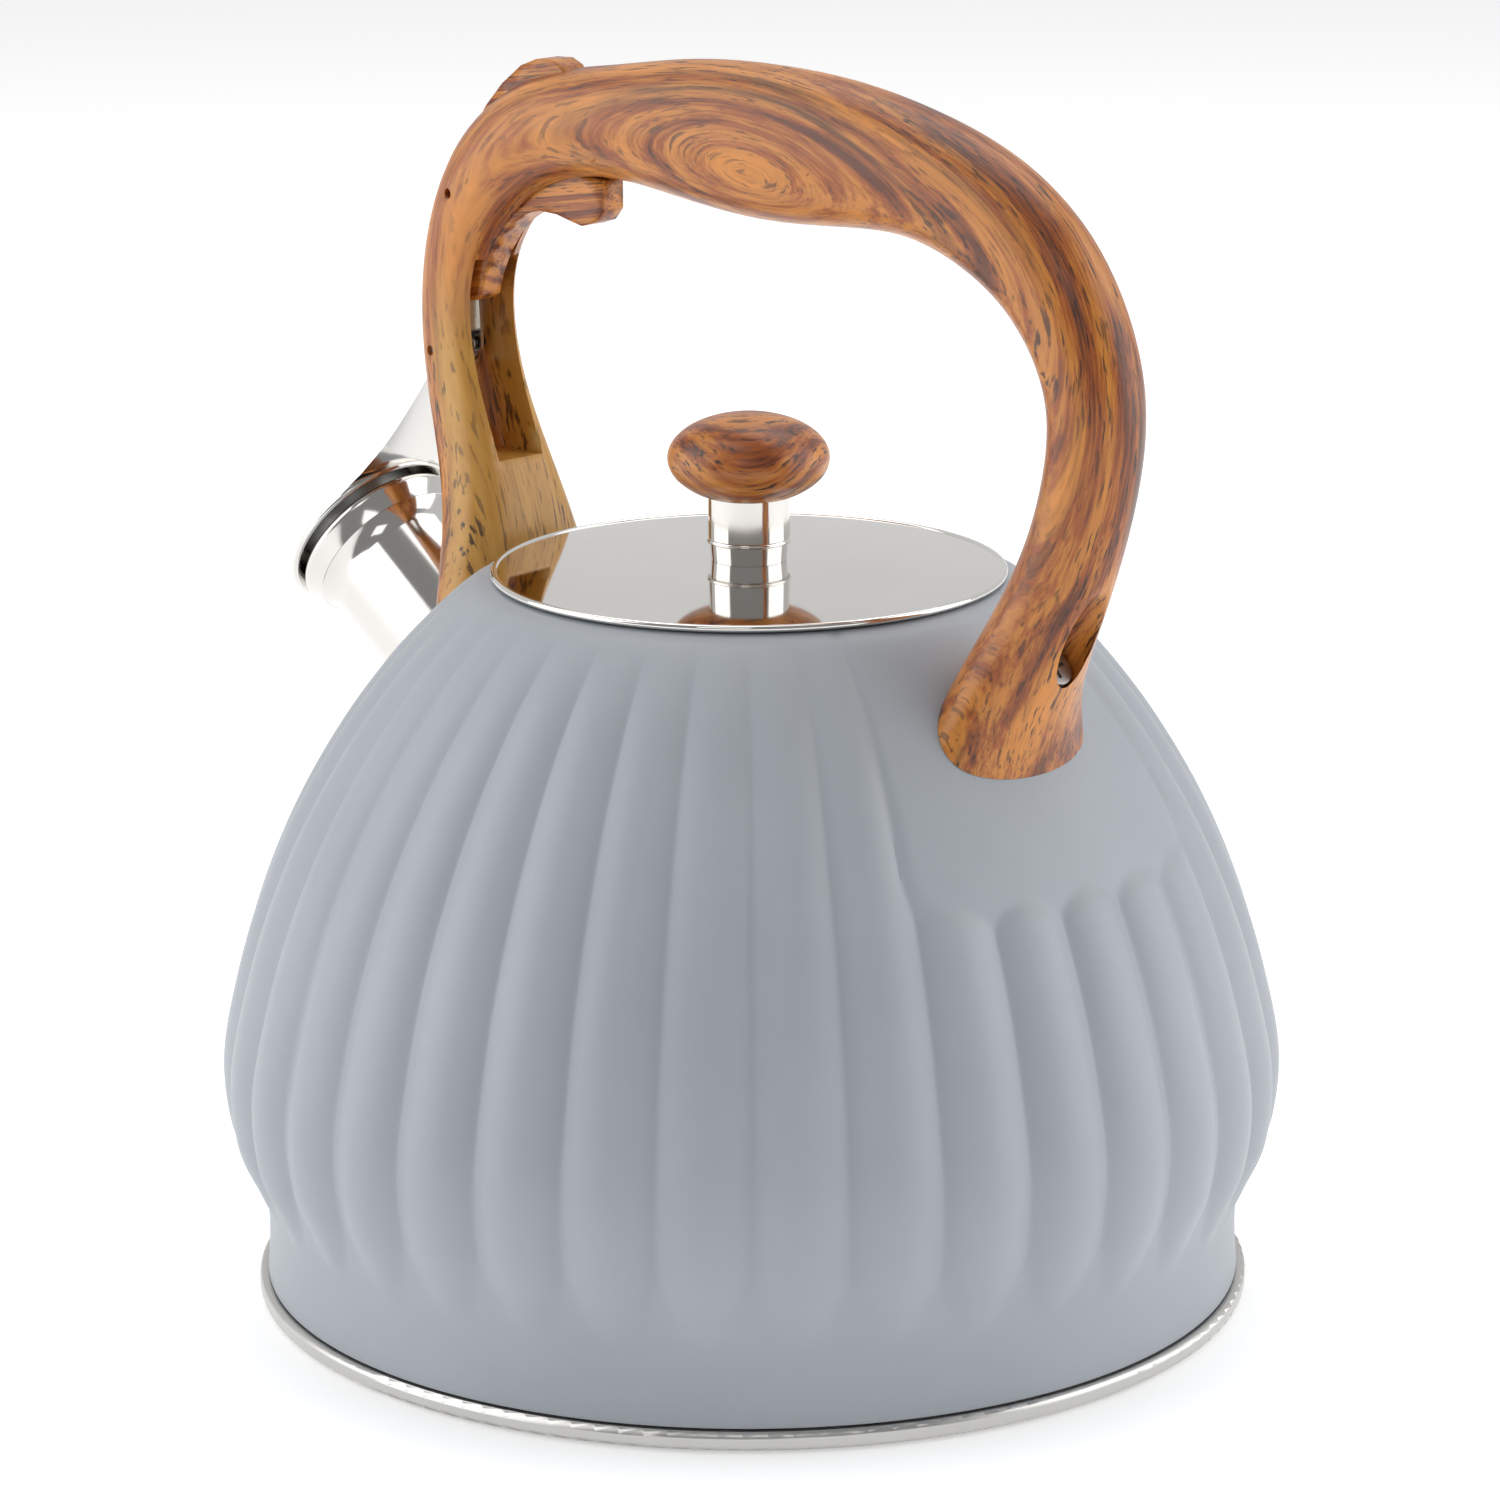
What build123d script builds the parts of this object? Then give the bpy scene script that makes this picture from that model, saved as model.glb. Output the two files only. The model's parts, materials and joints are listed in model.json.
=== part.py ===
from build123d import *
from math import cos, hypot, pi, radians, sin
import os

os.makedirs("parts", exist_ok=True)

# Whistling kettle: ribbed steel body, lift-off lid, whistle cap worked by a trigger in an arched handle.
# Millimetres. +Z is up, the spout points along -X, the handle stands in the XZ plane.
# The origin is the centre of the flat underside.

# ---- driving dimensions ----
wall = 0.9                     # body sheet
lobe_count = 36
body_radius = 109.9            # over the ribs' crests, at the widest
body_height = 150.6            # to the top of the shoulder
foot_radius, foot_height = 101.9, 4.7
shoulder_margin = 4.0          # from the filling opening to the edge of the shoulder
# body meridian, lowest first: share of the way from foot to shoulder in height, share of the bulge in radius
# (below the widest place from the foot's radius, above it from the shoulder's), rise of the rib over its valley
skirt_meridian = [
    (0.0000, 0.0000, 0.05), (0.0775, -0.0625, 0.05), (0.1117, 0.0000, 0.2), (0.1528, 0.3375, 1.6),
    (0.2214, 0.8625, 2.3), (0.3228, 1.0000, 2.4),
]
shoulder_meridian = [
    (0.4407, 0.9414, 2.3), (0.5593, 0.8472, 2.2), (0.6779, 0.7123, 2.0), (0.7958, 0.5311, 1.6),
    (0.8958, 0.3321, 1.1), (0.9582, 0.1705, 0.5), (0.9904, 0.0639, 0.05), (1.0000, 0.0000, 0.05),
]
pad_sink = 1.0                 # smooth seats for the handle's feet lie this far under the crests
pad_half_length = 32.0         # along the slope
pad_half_width = 31.0

neck_radius = 49.6             # inside of the filling opening
neck_wall = 0.8
neck_depth = 7.5
neck_lip = 2.4                 # width of the flat the lid rests on
neck_lip_height = 0.4

ring_proud = 1.9               # rolled ring at the foot, beyond the shell
ring_width = 2.6
ring_bottom, ring_top = 0.5, 4.3
pan_sheet, pan_upstand = 0.8, 6.5
cover_inset, cover_sheet = 12.3, 0.9   # cover of the heat spreader, inside the ring

spout_tilt = 36.0              # spout axis above the horizontal
spout_lip_x, spout_lip_drop = -115.4, 9.0   # the lip's centre, below the shoulder
spout_radius, spout_wall, spout_bury = 16.2, 0.8, 7.7   # how far the tube runs into the body
lip_flare_out, lip_height, flare_length = 3.0, 5.5, 10.0
lip_edge_in = 1.0

cap_overhang, cap_sheet, cap_lift = 1.4, 0.9, 1.2
cap_crown = 2.2                # how far the cap bulges at its centre
cap_hole_radius = 2.0
arm_width, arm_sheet = 8.8, 1.0
ear_sheet, ear_depth = 0.9, 5.2
cap_pin_x, cap_pin_z = -86.8, body_height + 36.9
arm_top_z, arm_bend_z = cap_pin_z + 14.8, cap_pin_z - 1.0
arm_bead_radius = 1.2
pin_radius, pin_length = 1.1, 16.0
pin_press, pin_play = 0.02, 0.05

whistle_inset, whistle_depth, whistle_wall = 2.4, 7.5, 0.7   # inset from the bore of the spout
whistle_hole_radius = 1.6
whistle_fit = 0.1

trigger_pin_x, trigger_pin_z = -79.5, body_height + 71.4
trigger_width = 6.2
slot_width = trigger_width + 1.3
pocket_width = arm_width + 3.7
window_width = arm_width + 2.4

lid_radius, lid_sheet, lid_edge = neck_radius + 3.4, 0.8, 1.5
lid_seat_gap = 0.3
lid_dome = 2.2
skirt_clearance, skirt_sheet, skirt_depth = 0.8, 0.7, 9.0
ferrule_radius = 8.45
ferrule_height, knob_radius, knob_height = 13.4, 16.6, 16.9
stud_radius, stud_head_radius, stud_head = 2.0, 3.8, 2.2
insert_radius, insert_length = 3.4, 9.0

pad_x = 71.3                   # centre of each smooth seat
screw_x = {1: pad_x, -1: 66.5}  # where the handle's screws meet the body: rear, front (above the spout)
screw_radius, screw_head_radius, screw_head, screw_length = 2.4, 4.1, 2.8, 11.5
screw_well_radius = 4.7
screw_seat = 13.0              # from the body to the washer's seat
boss_radius, boss_height = 5.0, 8.0
flange_length, flange_width, flange_sheet = 9.5, 25.0, 1.2
foot_gap, flange_gap, upstand_gap = 0.1, 0.25, 0.25
recess_gap = 0.4
washer_radius, washer_sheet = 4.3, 0.9

# handle centre line, spout foot to rear foot: x, height over the shoulder, half depth, half breadth, squareness
handle_stations = [
    (-71.0, -28.6, 9.4, 20.6, 2.8), (-71.4, -11.6, 9.4, 18.6, 2.8), (-73.4, 1.4, 9.2, 14.8, 3.0),
    (-77.2, 14.4, 8.8, 11.6, 3.2), (-81.5, 27.4, 8.5, 9.7, 3.4), (-84.1, 41.4, 8.3, 8.9, 3.4),
    (-83.5, 54.4, 8.5, 9.0, 3.0), (-79.3, 66.4, 9.6, 9.6, 2.6), (-70.3, 77.9, 11.0, 10.3, 2.4),
    (-57.0, 86.0, 11.4, 10.8, 2.2), (-39.0, 89.6, 11.6, 11.0, 2.1), (-16.0, 90.4, 14.2, 11.3, 2.0),
    (8.0, 90.0, 15.6, 11.4, 2.0), (30.0, 89.8, 14.4, 11.2, 2.0), (50.0, 87.6, 12.6, 10.8, 2.0),
    (67.0, 82.0, 12.2, 10.3, 2.0), (80.2, 73.4, 11.6, 9.9, 2.0), (89.2, 62.0, 10.6, 9.6, 2.0),
    (93.8, 48.4, 9.7, 9.5, 2.0), (92.8, 33.4, 9.4, 9.4, 2.0), (88.2, 17.9, 9.4, 9.7, 2.0),
    (81.6, 3.4, 9.8, 11.4, 2.0), (75.4, -8.6, 10.0, 15.0, 2.0), (71.2, -20.6, 10.2, 20.0, 2.0),
    (69.5, -30.6, 10.4, 21.5, 2.0),
]
section_points = 16
foot_lap = 1.2                 # how far the uncut feet reach through the seats

# ---- derived sizes ----
lobe_pitch = 360.0 / lobe_count
shoulder_radius = neck_radius + shoulder_margin
body_rise = body_height - foot_height
# height, radius at a rib's crest, rise of the rib over its valley
body_meridian = [(foot_height + body_rise * share, foot_radius + (body_radius - foot_radius) * bulge, rise)
                 for share, bulge, rise in skirt_meridian]
body_meridian += [(foot_height + body_rise * share, shoulder_radius + (body_radius - shoulder_radius) * bulge, rise)
                  for share, bulge, rise in shoulder_meridian]
top_of_body = body_height + neck_lip_height
lip_radius = spout_radius + lip_flare_out
lip_mouth_radius = lip_radius - lip_edge_in
cap_radius = lip_radius + cap_overhang
whistle_radius = spout_radius - spout_wall - whistle_inset
spout_dir = Vector(-cos(radians(spout_tilt)), 0, sin(radians(spout_tilt)))
spout_lip_point = Vector(spout_lip_x, 0, body_height - spout_lip_drop)
spout_plane = Plane(origin=spout_lip_point, x_dir=(sin(radians(spout_tilt)), 0, cos(radians(spout_tilt))),
                    z_dir=spout_dir)
# X of this plane is the spout's radius and Y its axis: turned profiles are drawn on it
spout_turning = Plane(origin=spout_lip_point, x_dir=spout_plane.x_dir, z_dir=(0, -1, 0))
spout_axis = Axis(spout_lip_point, spout_dir)


def finish(block, name):
    """Label a finished piece and write it out."""
    block.part.label = name
    export_step(block.part, "parts/" + name + ".step")
    print(name, round(block.part.volume), len(block.part.solids()), block.part.is_valid)


def polar(radius, angle):
    return (radius * cos(radians(angle)), radius * sin(radians(angle)))


def offset_meridian(distance):
    """The body meridian moved inwards along its own normal."""
    moved = []
    for i, (z, r, rise) in enumerate(body_meridian):
        z0, r0, _ = body_meridian[max(i - 1, 0)]
        z1, r1, _ = body_meridian[min(i + 1, len(body_meridian) - 1)]
        run = hypot(r1 - r0, z1 - z0)
        moved.append((z + distance * (r1 - r0) / run, r - distance * (z1 - z0) / run, rise))
    return moved


def smooth_meridian(distance):
    """Points of the seat surface under the handle's feet, moved inwards by a distance."""
    return [(r, z) for z, r, rise in offset_meridian(distance)]


def seat_height(radius, distance):
    points = smooth_meridian(distance)
    for (r0, z0), (r1, z1) in zip(points[5:], points[6:]):
        if r1 <= radius <= r0:
            return z0 + (z1 - z0) * (r0 - radius) / (r0 - r1)
    raise ValueError("no seat at this radius")


def lobed_ring(crest, rise):
    for k in range(lobe_count):
        start, middle, end = (k - 0.5) * lobe_pitch, k * lobe_pitch, (k + 0.5) * lobe_pitch
        ThreePointArc(polar(crest - rise, start), polar(crest, middle), polar(crest - rise, end))


def slope_plane(side, x):
    """Plane lying on a smooth seat; its X is the kettle's Y."""
    fall = seat_height(x - 4, pad_sink) - seat_height(x + 4, pad_sink)
    return Plane(origin=(side * x, 0, seat_height(x, pad_sink)), x_dir=(0, 1, 0), z_dir=(side * fall, 0, 8))


def outside_body(reach):
    """Whether the spout's axis is still clear of the body this far below the lip."""
    radius = -spout_lip_x - reach * cos(radians(spout_tilt))
    height = spout_lip_point.Z - reach * sin(radians(spout_tilt))
    return radius >= body_radius or height > seat_height(radius, 0)


foot_plane = {side: slope_plane(side, screw_x[side]) for side in (1, -1)}
spout_entry = next(step / 10 for step in range(2000) if not outside_body(step / 10))
spout_length = spout_entry + spout_bury

# ---- body shell ----
with BuildPart() as shell_block:
    for z, r, rise in body_meridian:
        with BuildSketch(Plane.XY.offset(z)):
            with BuildLine():
                lobed_ring(r, rise)
            make_face()
    loft()

inner_meridian = offset_meridian(wall)
inner_meridian[0] = (body_meridian[0][0] - wall, body_meridian[0][1] - wall, body_meridian[0][2])
with BuildPart() as cavity_block:
    for z, r, rise in inner_meridian:
        with BuildSketch(Plane.XY.offset(z)):
            with BuildLine():
                lobed_ring(r, rise)
            make_face()
    loft()


def seat_surface(distance):
    """Solid of revolution under the smooth seats."""
    with BuildPart() as seat:
        with BuildSketch(Plane.XZ):
            points = smooth_meridian(distance)
            with BuildLine():
                Line((0, points[1][1]), points[1])
                Spline(*points[1:])
                Line(points[-1], (0, points[-1][1]))
                Line((0, points[-1][1]), (0, points[1][1]))
            make_face()
        revolve(axis=Axis.Z)
    return seat.part


def foot_pads(grow):
    with BuildPart() as pads:
        for side in (1, -1):
            with BuildSketch(slope_plane(side, pad_x).offset(-18)):
                Ellipse(pad_half_width + grow, pad_half_length + grow)
            extrude(amount=40)
    return pads.part


pads_outside = foot_pads(0)
with BuildPart() as shell_outside:
    add(shell_block.part)
    add(pads_outside, mode=Mode.SUBTRACT)
    add(pads_outside & seat_surface(pad_sink))

pads_inside = foot_pads(wall)
with BuildPart() as shell_inside:
    add(cavity_block.part)
    add(pads_inside, mode=Mode.SUBTRACT)
    add(pads_inside & seat_surface(pad_sink + wall) & cavity_block.part)

with BuildPart() as body_shell:
    add(shell_outside.part)
    add(shell_inside.part, mode=Mode.SUBTRACT)
    with BuildSketch(Plane.XY.offset(body_meridian[-1][0] - 3 * wall)):
        Circle(neck_radius + neck_wall)
    extrude(amount=6 * wall, mode=Mode.SUBTRACT)
    with BuildSketch(Plane.XZ) as neck_profile:
        with BuildLine():
            Polyline((neck_radius, top_of_body - neck_depth), (neck_radius + neck_wall, top_of_body - neck_depth),
                     (neck_radius + neck_wall, top_of_body - 2 * neck_lip_height),
                     (neck_radius + neck_lip, top_of_body - 2 * neck_lip_height),
                     (neck_radius + neck_lip, top_of_body), (neck_radius, top_of_body), close=True)
        make_face()
    revolve(axis=Axis.Z)
    with BuildSketch(spout_plane.offset(-spout_length - 12)):
        Circle(spout_radius + pin_press)
    extrude(amount=30, mode=Mode.SUBTRACT)
finish(body_shell, "body_shell")

# ---- base: pan with rolled ring, heat spreader, cover ----
shell_foot, shell_foot_radius, foot_rise = body_meridian[0]
upstand_radius = min(shell_foot_radius, body_meridian[1][1]) - foot_rise - wall - upstand_gap
ring_radius = foot_radius + ring_proud
ring_inner = ring_radius - ring_width
pan_bottom = ring_top - pan_sheet
cover_radius = ring_inner - cover_inset
spreader_radius = cover_radius - cover_sheet

with BuildPart() as base_pan:
    with BuildSketch(Plane.XZ) as pan_profile:
        with BuildLine():
            Polyline((0, pan_bottom), (ring_inner, pan_bottom), (ring_inner, ring_bottom),
                     (ring_radius, ring_bottom), (ring_radius, ring_top), (upstand_radius, ring_top),
                     (upstand_radius, ring_top + pan_upstand), (upstand_radius - pan_sheet, ring_top + pan_upstand),
                     (upstand_radius - pan_sheet, ring_top), (0, ring_top), close=True)
        make_face()
        ring_corners = pan_profile.vertices().filter_by_position(Axis.X, ring_radius - 0.1, ring_radius + 0.1)
        fillet(ring_corners, radius=ring_width * 0.45)
    revolve(axis=Axis.Z)
finish(base_pan, "base_pan")

with BuildPart() as heat_spreader:
    with BuildSketch(Plane.XY.offset(cover_sheet)):
        Circle(spreader_radius)
    extrude(amount=pan_bottom - cover_sheet)
finish(heat_spreader, "heat_spreader")

with BuildPart() as base_cover:
    with BuildSketch(Plane.XY):
        Circle(cover_radius)
    extrude(amount=pan_bottom)
    with BuildSketch(Plane.XY.offset(cover_sheet)):
        Circle(spreader_radius)
    extrude(amount=pan_bottom - cover_sheet, mode=Mode.SUBTRACT)
    fillet(base_cover.edges().group_by(Axis.Z)[0], radius=cover_sheet * 0.8)
finish(base_cover, "base_cover")

# ---- spout: tube, flared lip ----
seam_radius = (spout_radius + lip_radius) / 2
with BuildPart() as spout_tube:
    with BuildSketch(spout_turning):
        with BuildLine():
            Polyline((spout_radius - spout_wall, -flare_length), (spout_radius - spout_wall, -spout_length),
                     (spout_radius, -spout_length), (spout_radius, -flare_length))
            flare_outside = TangentArc((spout_radius, -flare_length), (seam_radius, -lip_height), tangent=(0, 1))
            Line((seam_radius, -lip_height), (seam_radius - spout_wall, -lip_height))
            flare_inside = TangentArc((spout_radius - spout_wall, -flare_length),
                                      (seam_radius - spout_wall, -lip_height), tangent=(0, 1))
        make_face()
    revolve(axis=spout_axis)
finish(spout_tube, "spout_tube")

lip_step = 0.2                 # the lip stands proud of the tube at their seam
lip_round = (lip_radius - lip_mouth_radius)
with BuildPart() as spout_lip:
    with BuildSketch(spout_turning):
        with BuildLine():
            Line((seam_radius - spout_wall, -lip_height), (seam_radius + lip_step, -lip_height))
            lip_flare = TangentArc((seam_radius + lip_step, -lip_height), (lip_radius, -2 * lip_round),
                                   tangent=(0.25, 1))
            lip_edge = TangentArc((lip_radius, -2 * lip_round), (lip_mouth_radius, 0), tangent=lip_flare % 1)
            Line((lip_mouth_radius, 0), (lip_mouth_radius - spout_wall, 0))
            Line((lip_mouth_radius - spout_wall, 0), (seam_radius - spout_wall, -lip_height))
        make_face()
    revolve(axis=spout_axis)
finish(spout_lip, "spout_lip")

# ---- handle ----
handle_line = [(x, body_height + z, *section) for x, z, *section in handle_stations]
for end in (0, -1):            # both feet reach through the seats
    x, z, *section = handle_line[end]
    handle_line[end] = (x, min(z, seat_height(abs(x) + section[0], pad_sink) - foot_lap), *section)


def handle_section(index):
    """Closed section across the handle at one station, square to the centre line."""
    x, z, half_depth, half_breadth, power = handle_line[index]
    x0, z0 = handle_line[max(index - 1, 0)][:2]
    x1, z1 = handle_line[min(index + 1, len(handle_line) - 1)][:2]
    run = hypot(x1 - x0, z1 - z0)
    across = ((z1 - z0) / run, 0, -(x1 - x0) / run)
    with BuildSketch(Plane(origin=(x, 0, z), x_dir=across, z_dir=((x1 - x0) / run, 0, (z1 - z0) / run))) as s:
        points = []
        for k in range(section_points):
            c, t = cos(2 * pi * k / section_points), sin(2 * pi * k / section_points)
            reach = (abs(c) ** power + abs(t) ** power) ** (-1 / power)
            points.append((half_depth * reach * c, half_breadth * reach * t))
        with BuildLine():
            Spline(*points, periodic=True)
        make_face()
    return s.sketch


def over_shoulder(points):
    """Outline in the XZ plane given by x and height over the shoulder."""
    return [(x, body_height + z) for x, z in points]


pocket_floor = over_shoulder([
    (-80.6, 14.9), (-85.6, 32.6), (-86.4, 35.4), (-86.4, 57.4),
])
pocket_top, pocket_bottom = pocket_floor[-1][1], pocket_floor[0][1]
pocket_open_x = -55.0
slot_outline = over_shoulder([
    (-86.3, 56.4), (-85.6, 63.4), (-85.3, 72.4), (-85.3, 78.9), (-88.0, 111.4), (-48.2, 111.4),
    (-48.4, 93.9), (-44.5, 90.9), (-38.2, 88.0), (-38.2, 56.4),
])
window_outline = over_shoulder([
    (-84.0, 34.0), (-97.0, 23.6), (-97.0, 57.4), (-84.0, 57.4),
])
seat_solid = seat_surface(pad_sink - foot_gap)

with BuildPart() as handle:
    loft(sections=[handle_section(i) for i in range(len(handle_line))])
    add(seat_solid, mode=Mode.SUBTRACT)
    with BuildSketch(Plane.XZ):
        with BuildLine():
            Polyline(*slot_outline, close=True)
        make_face()
    extrude(amount=slot_width / 2, both=True, mode=Mode.SUBTRACT)
    with BuildSketch(Plane.XZ):
        with BuildLine():
            Polyline(*pocket_floor, (pocket_open_x, pocket_top), (pocket_open_x, pocket_bottom), close=True)
        make_face()
    extrude(amount=pocket_width / 2, both=True, mode=Mode.SUBTRACT)
    with BuildSketch(Plane.XZ):
        with BuildLine():
            Polyline(*window_outline, close=True)
        make_face()
    extrude(amount=window_width / 2, both=True, mode=Mode.SUBTRACT)
    with BuildSketch(spout_plane.offset(-spout_length - 15)):
        Circle(spout_radius + recess_gap)
    extrude(amount=spout_length, mode=Mode.SUBTRACT)
    with BuildSketch(Plane.XZ):
        with Locations((cap_pin_x, cap_pin_z), (trigger_pin_x, trigger_pin_z)):
            Circle(pin_radius + pin_press)
    extrude(amount=30, both=True, mode=Mode.SUBTRACT)
    for side in (1, -1):
        with BuildSketch(foot_plane[side].offset(-5)):
            Rectangle(flange_width + 2 * recess_gap, flange_length + 2 * recess_gap)
        extrude(amount=5 + flange_gap + flange_sheet + recess_gap, mode=Mode.SUBTRACT)
        with BuildSketch(foot_plane[side]):
            Circle(boss_radius + recess_gap)
        extrude(amount=flange_gap + boss_height + recess_gap, mode=Mode.SUBTRACT)
        with BuildSketch(foot_plane[side]):
            Circle(screw_radius + recess_gap)
        extrude(amount=screw_seat + 1, mode=Mode.SUBTRACT)
        with BuildSketch(foot_plane[side].offset(screw_seat)):
            Circle(screw_well_radius)
        extrude(amount=40, mode=Mode.SUBTRACT)
finish(handle, "handle")

# ---- handle fastenings ----
for side, name in ((1, "handle_bracket_rear"), (-1, "handle_bracket_front")):
    with BuildPart() as bracket:
        with BuildSketch(foot_plane[side].offset(flange_gap)):
            RectangleRounded(flange_width, flange_length, flange_length / 4)
        extrude(amount=flange_sheet)
        with BuildSketch(foot_plane[side].offset(flange_gap)):
            Circle(boss_radius)
        extrude(amount=boss_height)
        with BuildSketch(foot_plane[side].offset(flange_gap)):
            Circle(screw_radius + pin_press)
        extrude(amount=boss_height, mode=Mode.SUBTRACT)
    finish(bracket, name)

with BuildPart() as handle_washers:
    for side in (1, -1):
        with BuildSketch(foot_plane[side].offset(screw_seat)):
            Circle(washer_radius)
            Circle(screw_radius + pin_play, mode=Mode.SUBTRACT)
        extrude(amount=washer_sheet)
finish(handle_washers, "handle_washers")

with BuildPart() as handle_screws:
    for side in (1, -1):
        head_plane = foot_plane[side].offset(screw_seat + washer_sheet)
        with BuildSketch(head_plane.offset(-screw_length)):
            Circle(screw_radius)
        extrude(amount=screw_length)
        with BuildSketch(head_plane):
            Circle(screw_head_radius)
        extrude(amount=screw_head)
        for turn in (0, 90):
            with BuildSketch(head_plane.offset(screw_head / 2)):
                Rectangle(screw_head_radius * 1.3, screw_radius / 3, rotation=turn)
            extrude(amount=screw_head, mode=Mode.SUBTRACT)
finish(handle_screws, "handle_screws")

# ---- pins and closing spring ----
for name, x, z in (("cap_pin", cap_pin_x, cap_pin_z), ("trigger_pin", trigger_pin_x, trigger_pin_z)):
    with BuildPart() as pin:
        with BuildSketch(Plane.XZ):
            with Locations((x, z)):
                Circle(pin_radius)
        extrude(amount=pin_length / 2, both=True)
        chamfer(pin.edges(), length=pin_radius / 4)
    finish(pin, name)

spring_wire, spring_turns = 0.25, 6
spring_radius = pin_radius + spring_wire + 0.15
spring_width = arm_width - 2 * ear_sheet - 1.6
spring_pitch = spring_width / spring_turns
with BuildPart() as closing_spring:
    with BuildLine() as coil:
        Helix(spring_pitch, spring_width, spring_radius, center=(cap_pin_x, spring_width / 2, cap_pin_z),
              direction=(0, -1, 0))
    with BuildSketch(Plane(origin=coil.line @ 0, z_dir=coil.line % 0)):
        Circle(spring_wire)
    sweep(is_frenet=True)
    for end, reach in ((0, 2.1), (1, 2.4)):
        with BuildSketch(Plane(origin=coil.line @ end, z_dir=coil.line % end)):
            Circle(spring_wire)
        extrude(amount=reach if end else -reach)
finish(closing_spring, "closing_spring")

# ---- trigger ----
web_x = cap_pin_x - ear_depth / 2 - 0.1
slit_half, slit_play = arm_bead_radius + 0.3, 0.7   # the play lets the arm tilt in the slit
slit_top = arm_top_z + arm_bead_radius + 2.1
slit_inner = web_x + slit_half + slit_play
finger_out = web_x - slit_half - 1.3
# grip side of the lever, from the finger up over the button and back along the squeeze pad: x, height over the shoulder
trigger_curve = over_shoulder([
    (-85.2, 60.4), (-84.6, 66.4), (-84.4, 72.4), (-83.0, 77.4), (-80.6, 81.4), (-77.4, 85.5), (-74.2, 89.9),
    (-69.1, 95.0), (-63.2, 99.3), (-58.6, 101.0), (-54.0, 101.2), (-51.0, 100.0), (-49.6, 97.6), (-50.8, 92.4),
    (-53.2, 88.0), (-52.6, 83.0), (-48.0, 79.2), (-39.4, 77.6), (-39.4, 71.4), (-41.6, 68.8), (-45.4, 67.6),
    (-49.0, 68.3), (-53.0, 69.2), (-58.5, 69.4), (-62.8, 68.2), (-66.6, 66.0), (-70.6, 62.4), (-73.9, 58.0),
    (-76.4, 53.0),
])
tail_end = arm_top_z - 3.9
trigger_outline = [
    (finger_out, slit_top + 1.6), (web_x + 3.1, slit_top + 1.6), *trigger_curve,
    (-77.6, tail_end + 1.2), (-79.4, tail_end), (slit_inner + 1.4, tail_end), (slit_inner, tail_end + 1.8),
    (slit_inner, slit_top), (web_x - slit_half, slit_top), (web_x - slit_half, arm_top_z),
    (finger_out, arm_top_z - 0.4),
]
with BuildPart() as trigger_lever:
    with BuildSketch(Plane.XZ):
        with BuildLine():
            Polyline(*trigger_outline, close=True)
        make_face()
        with Locations((trigger_pin_x, trigger_pin_z)):
            Circle(pin_radius + pin_play, mode=Mode.SUBTRACT)
    extrude(amount=trigger_width / 2, both=True)
finish(trigger_lever, "trigger_lever")

# ---- whistle cap ----
cap_rim_round = 0.75
crown_top = cap_lift + cap_sheet + cap_crown
rim_centre = (cap_radius - cap_rim_round, cap_lift + cap_rim_round)
arm_half = arm_sheet / 2
rim_point = spout_turning.from_local_coords(Vector(rim_centre[0], rim_centre[1] + 0.2, 0))
root_point = spout_turning.from_local_coords(Vector(cap_radius * 0.6, cap_lift + cap_sheet + cap_crown * 0.45, 0))
arm_line = [(web_x, arm_top_z), (web_x, arm_bend_z), (rim_point.X, rim_point.Z), (root_point.X, root_point.Z)]
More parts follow.
